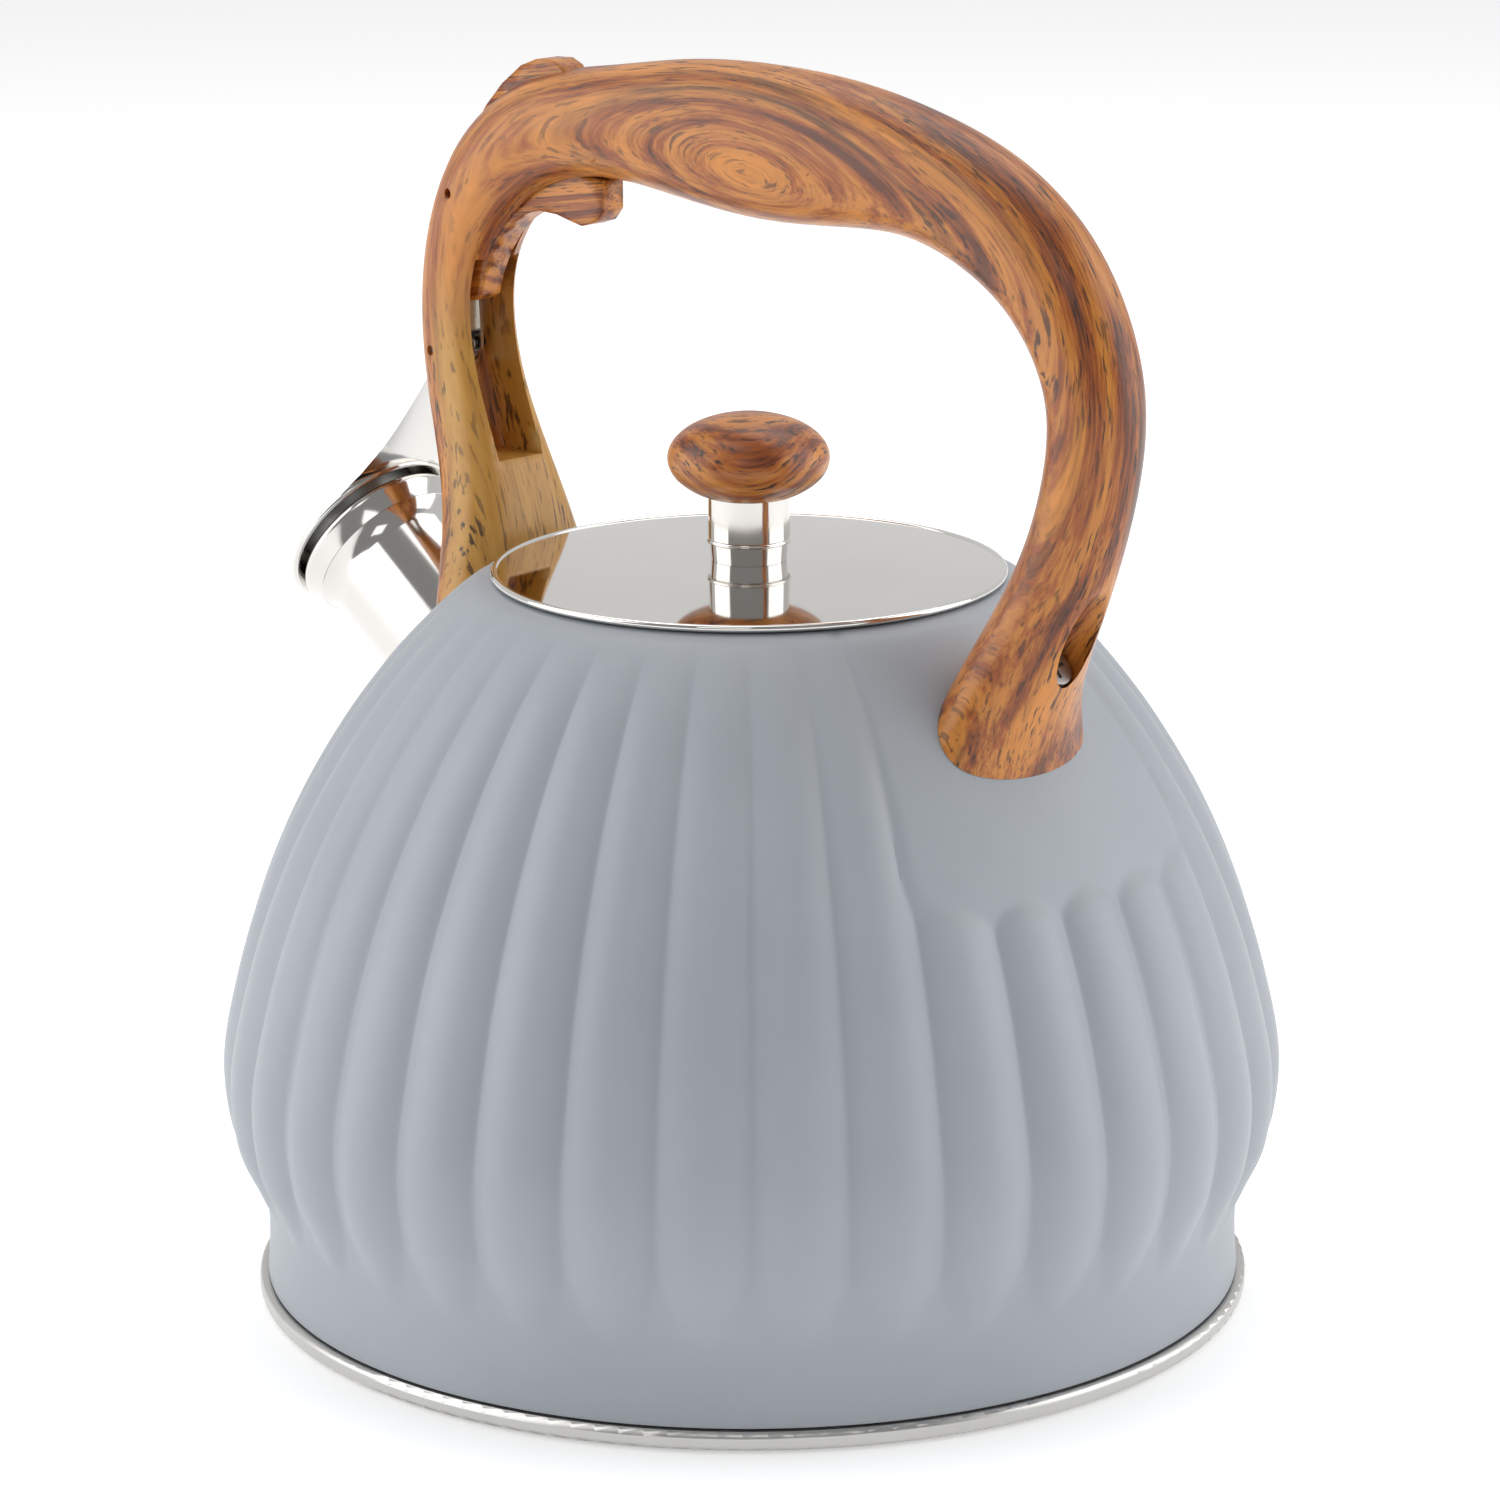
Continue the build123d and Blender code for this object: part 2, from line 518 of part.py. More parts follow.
# half width of the arm down to the cap: Y, Z
arm_root_z = body_height - 5.6
arm_root_half = cap_radius - 4.6
arm_flare = [(arm_width / 2, arm_bend_z), (arm_width / 2 + 0.5, body_height + 29.4),
             (arm_width / 2 + 2.2, body_height + 22.4), (arm_width / 2 + 4.2, body_height + 16.4),
             (arm_root_half - 5.0, body_height + 11.7), (arm_root_half - 2.0, body_height + 6.6),
             (arm_root_half, body_height + 2.0)]
ear_top = arm_top_z + arm_bead_radius
ear_front = web_x - arm_half + ear_depth + 0.4
with BuildPart() as spout_cap:
    with BuildSketch(spout_turning):
        with BuildLine():
            Line((cap_hole_radius, crown_top - cap_sheet), (cap_hole_radius, crown_top))
            SagittaArc((cap_hole_radius, crown_top), (rim_centre[0], cap_lift + 2 * cap_rim_round), 0.35)
            Line((rim_centre[0], cap_lift + 2 * cap_rim_round), (rim_centre[0], cap_lift))
            SagittaArc((rim_centre[0], cap_lift), (cap_hole_radius, crown_top - cap_sheet), -0.35)
        make_face()
        with Locations(rim_centre):
            Circle(cap_rim_round)
    revolve(axis=spout_axis)
    with BuildSketch(Plane.XZ) as arm_side:
        with BuildLine():
            Polyline(*arm_line)
        trace(line_width=arm_sheet)
    arm_strip = extrude(amount=cap_radius, both=True, mode=Mode.PRIVATE)
    with BuildSketch(Plane.YZ) as arm_front:
        with BuildLine():
            for half in (1, -1):
                Spline(*[(half * y, z) for y, z in arm_flare], tangents=((0, -1), (half * 0.8, -1)))
            Polyline(arm_flare[-1], (arm_flare[-1][0], arm_root_z), (-arm_flare[-1][0], arm_root_z),
                     (-arm_flare[-1][0], arm_flare[-1][1]))
            Polyline((-arm_width / 2, arm_bend_z), (-arm_width / 2, ear_top), (arm_width / 2, ear_top),
                     (arm_width / 2, arm_bend_z))
        make_face()
    arm_blank = extrude(amount=-150, mode=Mode.PRIVATE)
    add(arm_strip & arm_blank)
    with BuildSketch(Plane.XZ):
        with Locations((web_x, arm_top_z)):
            Circle(arm_bead_radius)
    extrude(amount=arm_width / 2, both=True)
    for face in (1, -1):
        with BuildSketch(Plane.XZ.offset(face * arm_width / 2)):
            with BuildLine():
                Polyline((web_x - arm_half, ear_top), (ear_front - 0.8, ear_top), (ear_front, cap_pin_z + 3.5),
                         (ear_front, cap_pin_z - 0.9), (cap_pin_x, cap_pin_z - 3.7), (web_x + 0.4, cap_pin_z - 2.3),
                         (web_x - arm_half, cap_pin_z - 1.0),
                         close=True)
            make_face()
        extrude(amount=-face * ear_sheet)
    with BuildSketch(Plane.XZ):
        with Locations((cap_pin_x, cap_pin_z)):
            Circle(pin_radius + pin_play)
    extrude(amount=arm_width, both=True, mode=Mode.SUBTRACT)
finish(spout_cap, "spout_cap")

# ---- whistle ----
with BuildPart() as whistle_cup:
    with BuildSketch(spout_turning):
        with BuildLine():
            cup_top = cap_lift + cap_crown * 0.4
            Polyline((whistle_radius, cup_top), (whistle_radius, cup_top - whistle_depth),
                     (whistle_radius * 0.7, cup_top - whistle_depth),
                     (whistle_radius * 0.7, cup_top - whistle_depth + whistle_wall),
                     (whistle_radius - whistle_wall, cup_top - whistle_depth + whistle_wall),
                     (whistle_radius - whistle_wall, cup_top), close=True)
        make_face()
    revolve(axis=spout_axis)
finish(whistle_cup, "whistle_cup")

disc_radius = whistle_radius - whistle_wall - whistle_fit
disc_dish = 1.0
disc_floor = cup_top - whistle_depth + whistle_wall + whistle_fit
for name, floor, dish in (("whistle_disc_inner", disc_floor, disc_dish),
                          ("whistle_disc_outer", disc_floor + whistle_wall + whistle_fit + 2 * disc_dish, -disc_dish)):
    with BuildPart() as disc:
        with BuildSketch(spout_turning):
            with BuildLine():
                Polyline((whistle_hole_radius, floor + dish), (disc_radius * 0.6, floor + dish),
                         (disc_radius * 0.8, floor), (disc_radius, floor), (disc_radius, floor + whistle_wall),
                         (disc_radius * 0.8, floor + whistle_wall), (disc_radius * 0.6, floor + dish + whistle_wall),
                         (whistle_hole_radius, floor + dish + whistle_wall), close=True)
            make_face()
        revolve(axis=spout_axis)
    finish(disc, name)

# ---- lid ----
lid_under = top_of_body + lid_seat_gap
edge_round = lid_edge / 2
dome_under = lid_under + lid_dome
stud_hole = stud_radius + recess_gap / 2
edge_centre = (lid_radius - edge_round, lid_under + edge_round)
with BuildPart() as lid_plate:
    with BuildSketch(Plane.XZ):
        with BuildLine():
            Line((stud_hole, dome_under), (stud_hole, dome_under + lid_sheet))
            ThreePointArc((stud_hole, dome_under + lid_sheet),
                          (lid_radius * 0.55, dome_under + lid_sheet - lid_dome * 0.26),
                          (edge_centre[0], lid_under + lid_sheet + 0.3))
            Line((edge_centre[0], lid_under + lid_sheet + 0.3), (edge_centre[0], lid_under + 0.3))
            ThreePointArc((edge_centre[0], lid_under + 0.3), (lid_radius * 0.55, dome_under - lid_dome * 0.26),
                          (stud_hole, dome_under))
        make_face()
        with Locations(edge_centre):
            Circle(edge_round)
    revolve(axis=Axis.Z)
finish(lid_plate, "lid_plate")

skirt_radius = neck_radius - skirt_clearance
with BuildPart() as lid_skirt:
    with BuildSketch(Plane.XY.offset(lid_under + 0.5)):
        Circle(skirt_radius)
        Circle(skirt_radius - skirt_sheet, mode=Mode.SUBTRACT)
    extrude(amount=-skirt_depth)
finish(lid_skirt, "lid_skirt")

ferrule_bottom = dome_under + lid_sheet
knob_bottom = ferrule_bottom + ferrule_height
knob_top = knob_bottom + knob_height
ferrule_wall = 1.2
bead_height = 4.2
with BuildPart() as knob_ferrule:
    with BuildSketch(Plane.XZ):
        with BuildLine():
            Polyline((stud_hole, knob_bottom), (ferrule_radius, knob_bottom),
                     (ferrule_radius, ferrule_bottom + bead_height + 0.5),
                     (ferrule_radius - 0.4, ferrule_bottom + bead_height - 0.5), (ferrule_radius - 0.7, ferrule_bottom),
                     (ferrule_radius - 0.7 - ferrule_wall, ferrule_bottom),
                     (ferrule_radius - ferrule_wall, ferrule_bottom + bead_height),
                     (ferrule_radius - ferrule_wall, knob_bottom - ferrule_wall),
                     (stud_hole, knob_bottom - ferrule_wall), close=True)
        make_face()
        with Locations((ferrule_radius - 0.25, ferrule_bottom + bead_height)):
            Circle(0.55)
    revolve(axis=Axis.Z)
finish(knob_ferrule, "knob_ferrule")

knob_neck = ferrule_radius + recess_gap          # flat under the knob
neck_share = (1 - (knob_neck / knob_radius) ** 2) ** 0.5
knob_half = (knob_top - knob_bottom) / (1 + neck_share)
knob_middle = knob_top - knob_half
with BuildPart() as knob:
    with BuildSketch(Plane.XZ):
        with BuildLine():
            Line((0, knob_bottom), (0, knob_top))
            Line((0, knob_top), (1, knob_top))
            Spline((1, knob_top), *[(knob_radius * sin(radians(a)), knob_middle + knob_half * cos(radians(a)))
                                    for a in (20, 40, 60, 75, 90, 105, 120, 135)], (knob_neck, knob_bottom),
                   tangents=((1, 0), (-1, -0.35)))
            Line((knob_neck, knob_bottom), (0, knob_bottom))
        make_face()
    revolve(axis=Axis.Z)
    with BuildSketch(Plane.XY.offset(knob_bottom)):
        Circle(insert_radius + pin_press)
    extrude(amount=insert_length + 2 * recess_gap, mode=Mode.SUBTRACT)
finish(knob, "knob")

with BuildPart() as knob_insert:
    with BuildSketch(Plane.XY.offset(knob_bottom + recess_gap)):
        Circle(insert_radius)
        Circle(stud_radius + pin_press, mode=Mode.SUBTRACT)
    extrude(amount=insert_length)
finish(knob_insert, "knob_insert")

with BuildPart() as knob_washer:
    with BuildSketch(Plane.XY.offset(dome_under - washer_sheet - 0.05)):
        Circle(stud_head_radius + 1.5)
        Circle(stud_hole, mode=Mode.SUBTRACT)
    extrude(amount=washer_sheet)
finish(knob_washer, "knob_washer")

head_top = dome_under - washer_sheet - 0.05
with BuildPart() as knob_screw:
    with BuildSketch(Plane.XY.offset(head_top - stud_head)):
        Circle(stud_head_radius)
    extrude(amount=stud_head)
    with BuildSketch(Plane.XY.offset(head_top)):
        Circle(stud_radius)
    extrude(amount=knob_bottom + insert_length - head_top)
    for turn in (0, 90):
        with BuildSketch(Plane.XY.offset(head_top - stud_head)):
            Rectangle(stud_head_radius * 1.3, stud_radius / 3, rotation=turn)
        extrude(amount=stud_head / 2, mode=Mode.SUBTRACT)
finish(knob_screw, "knob_screw")
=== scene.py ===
import json
import math

import bmesh
import bpy
import numpy as np
from mathutils import Matrix, Vector


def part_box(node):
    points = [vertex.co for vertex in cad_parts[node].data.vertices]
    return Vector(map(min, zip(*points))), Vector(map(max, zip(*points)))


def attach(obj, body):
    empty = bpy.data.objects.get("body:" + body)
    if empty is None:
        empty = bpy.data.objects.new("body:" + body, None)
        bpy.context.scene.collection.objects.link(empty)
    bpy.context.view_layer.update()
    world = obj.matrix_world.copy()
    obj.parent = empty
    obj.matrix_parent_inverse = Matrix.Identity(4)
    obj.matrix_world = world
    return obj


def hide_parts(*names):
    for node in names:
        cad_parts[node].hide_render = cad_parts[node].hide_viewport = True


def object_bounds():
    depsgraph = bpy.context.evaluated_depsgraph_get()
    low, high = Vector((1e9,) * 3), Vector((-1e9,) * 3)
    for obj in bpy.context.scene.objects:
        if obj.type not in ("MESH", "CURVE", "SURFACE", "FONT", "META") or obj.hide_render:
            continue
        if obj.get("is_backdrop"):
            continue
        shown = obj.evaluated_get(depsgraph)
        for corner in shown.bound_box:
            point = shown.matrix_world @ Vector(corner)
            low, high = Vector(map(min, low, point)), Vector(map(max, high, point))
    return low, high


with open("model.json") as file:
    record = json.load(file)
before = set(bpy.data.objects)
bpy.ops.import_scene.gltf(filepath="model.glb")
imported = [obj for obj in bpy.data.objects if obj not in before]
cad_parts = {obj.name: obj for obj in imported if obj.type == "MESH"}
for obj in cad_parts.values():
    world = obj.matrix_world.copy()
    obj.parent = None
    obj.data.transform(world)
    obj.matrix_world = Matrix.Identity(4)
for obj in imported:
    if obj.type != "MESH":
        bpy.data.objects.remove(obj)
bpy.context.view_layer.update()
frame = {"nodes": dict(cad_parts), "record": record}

# Whistling kettle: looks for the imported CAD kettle. Metres, +Z up, spout along -X.
# The ribbed body is built here by code. The handle, the trigger lever and the knob are finer copies of their
# CAD meshes that carry a wood grain. The steel pieces keep their CAD meshes and get materials.
MM = 0.001
SMOOTH_ANGLE = math.radians(32)
LEVER_SMOOTH_ANGLE = math.radians(58)   # rounds the lever's short straights and keeps its square edges
WELD = 1e-6
MOST_HALVINGS = 6


# ---- mesh helpers ----
def curve_through(points, count):
    """Points evenly spaced by length along a Catmull-Rom curve through rows of any width."""
    rows = np.array(points, float)
    ends = np.vstack([2 * rows[0] - rows[1], rows, 2 * rows[-1] - rows[-2]])
    steps = np.linspace(0, 1, 24, endpoint=False)[:, None]
    dense = []
    for a, b, c, d in zip(ends, ends[1:], ends[2:], ends[3:]):
        dense.append(0.5 * (2 * b + (c - a) * steps + (2 * a - 5 * b + 4 * c - d) * steps**2
                            + (3 * b - a - 3 * c + d) * steps**3))
    dense = np.vstack(dense + [rows[-1:]])
    length = np.concatenate([[0], np.cumsum(np.linalg.norm(np.diff(dense[:, :2], axis=0), axis=1))])
    at = np.linspace(0, length[-1], count)
    return np.column_stack([np.interp(at, length, column) for column in dense.T])


def smooth_min(a, b, width):
    h = np.clip(0.5 + 0.5 * (b - a) / width, 0, 1)
    return b + (a - b) * h - width * h * (1 - h)


def new_piece(name, vertices, faces):
    mesh = bpy.data.meshes.new(name)
    mesh.from_pydata([tuple(v) for v in vertices], [], faces)
    mesh.update()
    piece = bpy.data.objects.new(name, mesh)
    bpy.context.scene.collection.objects.link(piece)
    return piece


def smooth_shading(piece, angle=SMOOTH_ANGLE):
    mesh = piece.data
    mesh.polygons.foreach_set("use_smooth", [True] * len(mesh.polygons))
    mesh.set_sharp_from_angle(angle=angle)
    mesh.update()


def grid_faces(rings, around, close_rings):
    """Quads of a grid that closes round each ring, and from the last ring to the first if close_rings."""
    faces = []
    for i in range(rings if close_rings else rings - 1):
        low, high = i * around, ((i + 1) % rings) * around
        for j in range(around):
            k = (j + 1) % around
            faces.append((low + j, low + k, high + k, high + j))
    return faces


def fix_normals(piece):
    work = bmesh.new()
    work.from_mesh(piece.data)
    bmesh.ops.recalc_face_normals(work, faces=work.faces)
    work.to_mesh(piece.data)
    work.free()


def turned(name, profile, around, origin, axis):
    """A closed profile of (radius, height) in millimetres, turned about an axis."""
    vertices, faces, rings = [], [], []
    angles = np.linspace(0, 2 * math.pi, around, endpoint=False)
    for radius, height in profile:
        if radius == 0:
            rings.append([len(vertices)])
            vertices.append((0, 0, height * MM))
        else:
            rings.append(list(range(len(vertices), len(vertices) + around)))
            vertices += [(radius * MM * math.cos(a), radius * MM * math.sin(a), height * MM) for a in angles]
    for low, high in zip(rings, rings[1:] + rings[:1]):
        for j in range(around):
            k = (j + 1) % around
            if len(low) > 1 and len(high) > 1:
                faces.append((low[j], low[k], high[k], high[j]))
            elif len(low) > 1:
                faces.append((low[j], low[k], high[0]))
            elif len(high) > 1:
                faces.append((low[0], high[k], high[j]))
    piece = new_piece(name, vertices, faces)
    turn = Vector((0, 0, 1)).rotation_difference(Vector(axis)).to_matrix().to_4x4()
    piece.data.transform(Matrix.Translation(Vector(origin)) @ turn)
    fix_normals(piece)
    return piece


def apply_modifiers(piece):
    bpy.context.view_layer.update()
    seen = piece.evaluated_get(bpy.context.evaluated_depsgraph_get())
    mesh = bpy.data.meshes.new_from_object(seen)
    piece.modifiers.clear()
    piece.data = mesh


def cut_away(piece, cutter):
    modifier = piece.modifiers.new("cut", "BOOLEAN")
    modifier.operation = "DIFFERENCE"
    modifier.solver = "EXACT"
    modifier.object = cutter
    apply_modifiers(piece)
    bpy.data.objects.remove(cutter)


def cad_copy(node, name, longest):
    """A welded copy of a CAD node with no edge longer than a length, so that it can carry a grain."""
    piece = bpy.data.objects.new(name, frame["nodes"][node].data.copy())
    bpy.context.scene.collection.objects.link(piece)
    work = bmesh.new()
    work.from_mesh(piece.data)
    bmesh.ops.remove_doubles(work, verts=work.verts, dist=WELD)
    for _ in range(MOST_HALVINGS):
        long_edges = [e for e in work.edges if e.calc_length() > longest]
        if not long_edges:
            break
        bmesh.ops.subdivide_edges(work, edges=long_edges, cuts=1)
    bmesh.ops.triangulate(work, faces=work.faces)
    work.to_mesh(piece.data)
    work.free()
    return piece


def place(piece, body, slot, *nodes, angle=SMOOTH_ANGLE):
    smooth_shading(piece, angle)
    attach(piece, body)
    if nodes:
        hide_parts(*nodes)
    piece.data.materials.clear()
    piece.data.materials.append(materials[slot])
    return piece


# ---- shader helpers ----
class Shader:
    """A material's node tree, with short calls for the nodes used here."""

    def __init__(self, name):
        self.material = bpy.data.materials.new(name)
        self.material.use_nodes = True
        self.tree = self.material.node_tree
        self.surface = self.tree.nodes["Principled BSDF"]

    def node(self, kind, **values):
        made = self.tree.nodes.new("ShaderNode" + kind)
        for key, value in values.items():
            setattr(made, key, value)
        return made

    def link(self, source, target):
        self.tree.links.new(source, target)

    def set(self, **values):
        for key, value in values.items():
            self.surface.inputs[key.replace("_", " ")].default_value = value

    def attribute(self, name, output="Vector"):
        return self.node("Attribute", attribute_name=name).outputs[output]

    def object_coordinates(self):
        return self.node("TexCoord").outputs["Object"]

    def stretched(self, vector, scale):
        mapping = self.node("Mapping")
        mapping.inputs["Scale"].default_value = scale
        self.link(vector, mapping.inputs["Vector"])
        return mapping.outputs["Vector"]

    def noise(self, vector, scale=1.0, detail=4.0, roughness=0.5, distortion=0.0):
        made = self.node("TexNoise")
        made.inputs["Scale"].default_value = scale
        made.inputs["Detail"].default_value = detail
        made.inputs["Roughness"].default_value = roughness
        made.inputs["Distortion"].default_value = distortion
        self.link(vector, made.inputs["Vector"])
        return made.outputs["Fac"]

    def math(self, operation, a, b=None):
        made = self.node("Math", operation=operation)
        for socket, value in zip(made.inputs, (a, b)):
            if isinstance(value, (int, float)):
                socket.default_value = value
            elif value is not None:
                self.link(value, socket)
        return made.outputs["Value"]

    def ramp(self, value, *stops):
        """Colour or grey ramp; each stop is (position, grey or colour)."""
        made = self.node("ValToRGB")
        elements = made.color_ramp.elements
        while len(elements) < len(stops):
            elements.new(0.5)
        for element, (position, colour) in zip(elements, stops):
            element.position = position
            rgb = (colour,) * 3 if isinstance(colour, (int, float)) else colour
            element.color = (*rgb, 1)
        self.link(value, made.inputs["Fac"])
        return made.outputs["Color"]

    def mix(self, factor, a, b):
        made = self.node("Mix", data_type="RGBA")
        for socket, value in ((made.inputs[0], factor), (made.inputs[6], a), (made.inputs[7], b)):
            if isinstance(value, tuple):
                socket.default_value = (*value, 1)
            else:
                self.link(value, socket)
        return made.outputs[2]

    def spread(self, value, low, high):
        made = self.node("MapRange")
        made.inputs["To Min"].default_value = low
        made.inputs["To Max"].default_value = high
        self.link(value, made.inputs["Value"])
        return made.outputs["Result"]

    def bump(self, height, distance, strength):
        made = self.node("Bump")
        made.inputs["Strength"].default_value = strength
        made.inputs["Distance"].default_value = distance
        self.link(height, made.inputs["Height"])
        return made.outputs["Normal"]

    def into(self, **sources):
        for key, source in sources.items():
            self.link(source, self.surface.inputs[key.replace("_", " ")])


def srgb(red, green, blue):
    """Linear colour of a screen colour given from 0 to 255, for channels above 10."""
    return tuple(((channel / 255 + 0.055) / 1.055) ** 2.4 for channel in (red, green, blue))


# ---- materials ----
def paint(name):
    """Soft matt enamel: faint orange peel and a little mottling."""
    s = Shader(name)
    p = s.object_coordinates()
    cloud = s.noise(p, 18, 5, 0.6)
    s.into(Base_Color=s.ramp(cloud, (0.3, srgb(158, 164, 171)), (0.7, srgb(164, 170, 177))))
    s.into(Roughness=s.spread(s.noise(p, 140, 3), 0.40, 0.50))
    peel = s.noise(p, 900, 3, 0.6)
    s.into(Normal=s.bump(peel, 0.00004, 0.35))
    s.set(Coat_Weight=0.12, Coat_Roughness=0.32, Specular_IOR_Level=0.42)
    return s.material


def steel(name, colour, roughness, streak=(1, 1, 1), depth=0.0):
    """Steel with fine streaks along the short sides of the streak scale."""
    s = Shader(name)
    p = s.object_coordinates()
    cloud = s.noise(p, 30, 4)
    lines = s.noise(s.stretched(p, streak), 900, 4, 0.7)
    tint = s.ramp(cloud, (0.25, tuple(c * 0.93 for c in colour)), (0.75, colour))
    s.into(Base_Color=tint)
    s.into(Roughness=s.spread(s.math("MULTIPLY_ADD", lines, 0.7), roughness * 0.75, roughness * 1.3))
    if depth:
        s.into(Normal=s.bump(lines, depth, 0.5))
    s.set(Metallic=1.0)
    return s.material


def grained(name, ring_gap, light, middle, dark, pore, pale=None):
    """Wood print. The grain attribute is (along, ring, breadth) in metres, so streaks follow the rings."""
    s = Shader(name)
    grain = s.attribute("grain")
    wander = s.noise(s.stretched(grain, (14, 60, 40)), 1.0, 2, 0.5)
    ring = s.math("ADD", s.attribute("ring", "Fac"), s.math("MULTIPLY", wander, ring_gap * 2.0))
    wave = s.math("SINE", s.math("MULTIPLY", ring, 2 * math.pi / ring_gap))
    broad = s.noise(s.stretched(grain, (8, 150, 60)), 1.0, 4, 0.62, 0.2)
    strand = s.noise(s.stretched(grain, (16, 620, 420)), 1.0, 4, 0.65)
    fibre = s.noise(s.stretched(grain, (70, 2600, 1500)), 1.0, 3, 0.65)
    tone = s.math("ADD", s.math("MULTIPLY", wave, 0.07), s.math("MULTIPLY", broad, 0.55))
    tone = s.math("ADD", tone, s.math("MULTIPLY", strand, 0.60))
    tone = s.math("ADD", tone, s.math("MULTIPLY", fibre, 0.32))
    lightest = tuple(c * 1.25 for c in light)
    colour = s.ramp(tone, (0.57, dark), (0.68, middle), (0.78, light), (0.90, lightest))
    if pale is not None:
        faint = s.ramp(strand, (0.35, pale[0]), (0.65, pale[1]))
        colour = s.mix(s.attribute("pale", "Fac"), colour, faint)
    streaks = s.noise(s.stretched(grain, (7, 190, 70)), 1.0, 4, 0.6)
    streak_mask = s.ramp(streaks, (0.57, 0.0), (0.68, 0.8))
    colour = s.mix(streak_mask, colour, tuple(c * 1.5 for c in pore))
    pores = s.noise(s.stretched(grain, (170, 2300, 1400)), 1.0, 2, 0.5)
    pore_mask = s.ramp(pores, (0.57, 0.0), (0.64, 1.0))
    patch = s.ramp(s.noise(s.stretched(grain, (20, 90, 90)), 1.0, 2), (0.35, 0.15), (0.6, 0.9))
    colour = s.mix(s.math("MULTIPLY", pore_mask, patch), colour, pore)
    s.into(Base_Color=colour)
    s.into(Roughness=s.spread(fibre, 0.30, 0.46))
    s.into(Normal=s.bump(pore_mask, -0.00005, 0.5))
    s.set(Coat_Weight=0.22, Coat_Roughness=0.25)
    return s.material


LIGHT, MIDDLE, DARK, PORE = srgb(190, 120, 46), srgb(154, 79, 24), srgb(98, 45, 16), srgb(50, 24, 11)
materials = {
    "body_paint": paint("body_paint"),
    "steel_ring": steel("steel_ring", (0.62, 0.61, 0.59), 0.26, (1, 1, 6), 0.00002),
    "aluminium": steel("aluminium", (0.70, 0.71, 0.72), 0.42, (1, 1, 4), 0.00002),
    "steel_base": steel("steel_base", (0.55, 0.55, 0.54), 0.32, (1, 6, 1), 0.00002),
    "steel_polished": steel("steel_polished", (0.74, 0.72, 0.69), 0.09, (1, 1, 5)),
    "steel_mirror": steel("steel_mirror", (0.80, 0.78, 0.75), 0.045, (3, 3, 3)),
    "steel_plain": steel("steel_plain", (0.50, 0.50, 0.49), 0.33, (1, 4, 1), 0.00001),
    "steel_dark": steel("steel_dark", (0.16, 0.16, 0.16), 0.30, (1, 4, 1), 0.00001),
    "brass": steel("brass", (0.66, 0.47, 0.20), 0.25, (1, 1, 4), 0.00001),
    "wood_handle": grained("wood_handle", 4.2 * MM, LIGHT, MIDDLE, DARK, PORE,
                           (srgb(182, 130, 52), srgb(200, 150, 68))),
    "wood_trigger": grained("wood_trigger", 3.4 * MM, LIGHT, MIDDLE, DARK, PORE),
    "wood_knob": grained("wood_knob", 2.6 * MM, LIGHT, MIDDLE, DARK, PORE),
}

slot_of = {part["node"]: part["material_slot"] for part in frame["record"]["subparts"]}


# ---- ribbed body ----
LOBES = 36
SHEET = 0.9
# crest line, lowest first: height, radius, rise of a rib over its valleys
CREST = [
    (4.7, 101.9, 2.4), (10.0, 101.5, 2.4), (16.0, 101.4, 2.4), (21.0, 102.0, 2.4), (27.0, 104.6, 2.4),
    (37.0, 108.8, 2.4), (51.8, 109.9, 2.4), (69.0, 106.6, 2.3), (86.3, 101.3, 2.2), (103.6, 93.7, 2.0),
    (120.8, 83.5, 1.6), (135.4, 72.3, 1.1), (144.5, 63.2, 0.45), (149.2, 57.2, 0.03), (150.6, 53.6, 0.0),
]
RIM_RUNS = [
    (151.0, 52.0), (151.0, 49.7), (150.8, 49.6), (143.5, 49.6), (143.5, 50.4), (149.0, 50.5), (149.3, 52.6),
]
PETAL_FOOT, PETAL_SLOPE = 20.0, 0.17       # ribs sink into the plain skirt below this height
# smooth seats under the handle's feet: how deep they sink, their lowest height, half their width in degrees
PAD_SINK, PAD_FOOT, PAD_SIDE = 1.0, 104.0, 24.4
PAD_FALL, RIB_FALL, RIB_LAP = 0.215, 0.25, 4.0
PAD_CORNER, FULL_PAD_RISE = 9.0, 1.1       # a pad sinks less where a rib rises less than this
CREASE, BLEND = 0.05, 0.25
CREST_ROWS, RIB_STEPS, RIB_CROWDING = 175, 17, 1.5


def body_offsets(crest, angle):
    """How far the painted surface lies inside the crest line, for crest rows and angles in degrees."""
    height, radius, rise, along = (crest[:, k][:, None] for k in range(4))
    pitch = 360 / LOBES
    across = np.abs((angle + pitch / 2) % pitch - pitch / 2) / (pitch / 2)
    edge = np.sqrt((1 - across) ** 2 + CREASE**2) - CREASE * across
    ribs = rise * (1 - edge) ** 2
    from_axis = np.abs((angle + 90) % 180 - 90)
    below = np.interp(PAD_FOOT, crest[:, 0], crest[:, 3]) - along
    beside = (from_axis - PAD_SIDE) * math.pi / 180 * radius
    low, wide = below + PAD_CORNER, beside + PAD_CORNER
    outside = np.hypot(np.maximum(low, 0), np.maximum(wide, 0))
    distance = outside - PAD_CORNER + np.minimum(np.maximum(low, wide), 0)
    ribs = ribs + RIB_FALL * np.maximum(RIB_LAP - distance, 0)
    pad = PAD_SINK * np.minimum(1, rise / FULL_PAD_RISE + 0 * distance) + PAD_FALL * np.maximum(distance, 0)
    skirt = PETAL_SLOPE * np.maximum(height - PETAL_FOOT, 0)
    depth = smooth_min(ribs, pad, BLEND)
    return np.maximum(smooth_min(depth, skirt, 2 * BLEND), 0)


